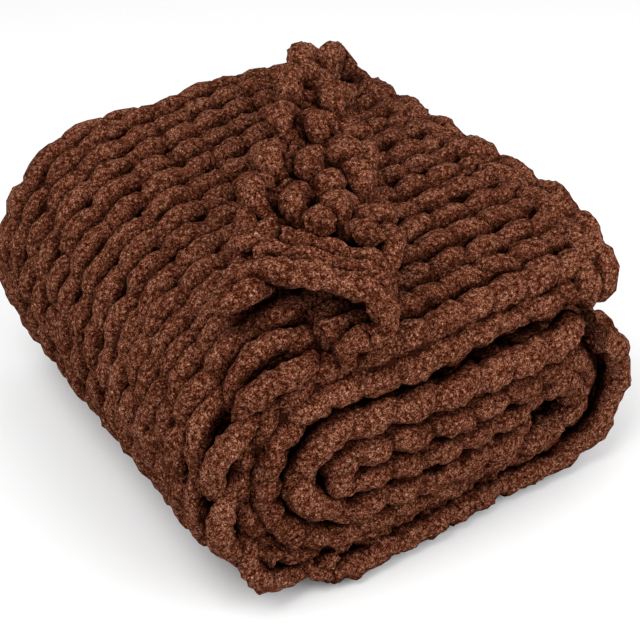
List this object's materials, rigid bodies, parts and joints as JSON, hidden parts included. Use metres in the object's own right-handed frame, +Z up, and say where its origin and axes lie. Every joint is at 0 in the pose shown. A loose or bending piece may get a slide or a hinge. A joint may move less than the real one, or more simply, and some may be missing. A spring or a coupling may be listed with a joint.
{
  "type": "chunky knit blanket",
  "caption": "Chunky knit throw blanket in brown chenille, folded into a thick soft stack, with one corner of its top layer turned back.",
  "frame": {"origin": "on the surface it lies on, under the middle of the folded stack's box", "axes": "+X to the right along the front face, from the large round fold to the smaller one; +Y from the front face to the back; +Z up"},
  "size_m": [0.4316, 0.4343, 0.2972],
  "materials": {
    "brown chenille": "matte"
  },
  "bodies": {
    "root": {"blanket": "brown chenille"}
  },
  "joints": []
}
